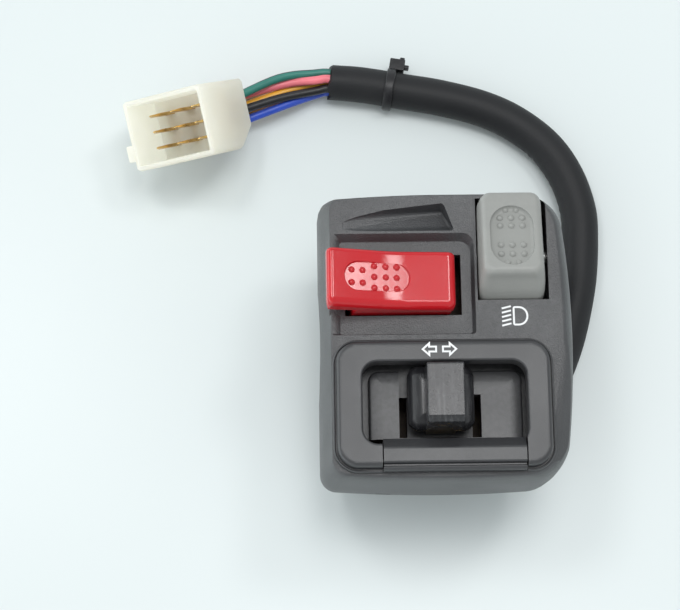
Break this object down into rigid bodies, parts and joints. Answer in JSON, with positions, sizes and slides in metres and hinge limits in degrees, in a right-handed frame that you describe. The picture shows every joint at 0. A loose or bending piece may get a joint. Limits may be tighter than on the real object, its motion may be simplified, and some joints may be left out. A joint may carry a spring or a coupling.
{
  "type": "handlebar switch cluster",
  "caption": "Handlebar clamp switch cluster with red and grey rockers, a sliding turn-signal knob, a horn bar and a sleeved cable ending in a multi-pin connector.",
  "frame": {"origin": "centre of the handlebar clamp, on the handlebar axis midway along the housing", "axes": "X along the handlebar, Y up the switch face, Z out of the face; the part lies on its flat back"},
  "size_m": [0.1162, 0.1162, 0.061],
  "materials": {
    "housing_black": "moulded with a fine grain",
    "bezel_black": "smooth satin moulding",
    "knob_black": "polished by use",
    "red_plastic": "glossy moulding",
    "grey_plastic": "satin moulding",
    "board": "phenolic laminate",
    "rubber_black": "soft moulded",
    "sleeve_black": "soft vinyl sleeve",
    "tie_black": "nylon",
    "nylon": "translucent natural nylon",
    "brass": "stamped",
    "steel": "zinc plated",
    "white_plastic": "acetal",
    "wire_green": "vinyl insulation",
    "wire_pink": "vinyl insulation",
    "wire_orange": "vinyl insulation",
    "wire_black": "vinyl insulation",
    "wire_brown": "vinyl insulation",
    "wire_blue": "vinyl insulation",
    "wire_white": "vinyl insulation"
  },
  "bodies": {
    "housing": {"front_housing": "housing_black", "rear_housing": "housing_black", "clamp_screws": "steel", "turn_bezel": "bezel_black", "slide_floor": "bezel_black", "floor_screws": "steel", "contact_board": "board", "board_screws": "steel", "contact_rivets": "brass", "bridge_posts": "brass", "red_pin": "steel", "grey_pin": "steel", "horn_pin": "steel", "horn_spring": "steel", "horn_leaf": "brass", "cable_gland": "rubber_black", "inner_leads": "wire_black", "cable_sleeve": "sleeve_black", "cable_tie": "tie_black", "wire_green": "wire_green", "wire_pink": "wire_pink", "wire_orange": "wire_orange", "wire_black": "wire_black", "wire_brown": "wire_brown", "wire_blue": "wire_blue", "wire_white": "wire_white", "connector_shell": "nylon", "connector_pins": "brass"},
    "red_rocker": {"red_rocker": "red_plastic", "red_plunger": "white_plastic", "red_spring": "steel"},
    "red_bridge": {"red_bridge": "brass"},
    "grey_rocker": {"grey_rocker": "grey_plastic", "grey_plunger": "white_plastic", "grey_spring": "steel"},
    "grey_bridge": {"grey_bridge": "brass"},
    "turn_knob": {"turn_knob": "knob_black", "turn_slider": "knob_black", "turn_wiper": "brass", "knob_screw": "steel", "detent_ball": "steel", "detent_spring": "steel"},
    "horn_bar": {"horn_bar": "bezel_black"}
  },
  "joints": [
    {"name": "red_rocker_tilt", "type": "hinge", "parent": "housing", "child": "red_rocker", "pos_m": [-0.0131, 0.01, 0.025], "axis": [0, -1, 0], "range_deg": [0, 20]},
    {"name": "red_bridge_tilt", "type": "hinge", "parent": "housing", "child": "red_bridge", "pos_m": [-0.0131, 0.01, 0.01455], "axis": [0, 1, 0], "range_deg": [0, 12]},
    {"name": "grey_rocker_tilt", "type": "hinge", "parent": "housing", "child": "grey_rocker", "pos_m": [0.0153, 0.0174, 0.025], "axis": [1, 0, 0], "range_deg": [0, 18]},
    {"name": "grey_bridge_tilt", "type": "hinge", "parent": "housing", "child": "grey_bridge", "pos_m": [0.0153, 0.0174, 0.01455], "axis": [-1, 0, 0], "range_deg": [0, 12]},
    {"name": "turn_slide", "type": "slide", "parent": "housing", "child": "turn_knob", "axis": [1, 0, 0], "range_m": [-0.005, 0.005]},
    {"name": "horn_press", "type": "hinge", "parent": "housing", "child": "horn_bar", "pos_m": [0.0015, -0.0296, 0.0283], "axis": [-1, 0, 0], "range_deg": [0, 12], "stiffness_Nm_per_rad": 0.2, "springref_deg": -6.88, "deforming": ["horn_spring"]}
  ],
  "couplings": [
    {"joint": "red_bridge_tilt", "follows": "red_rocker_tilt", "ratio": 0.6},
    {"joint": "grey_bridge_tilt", "follows": "grey_rocker_tilt", "ratio": 0.66667}
  ]
}
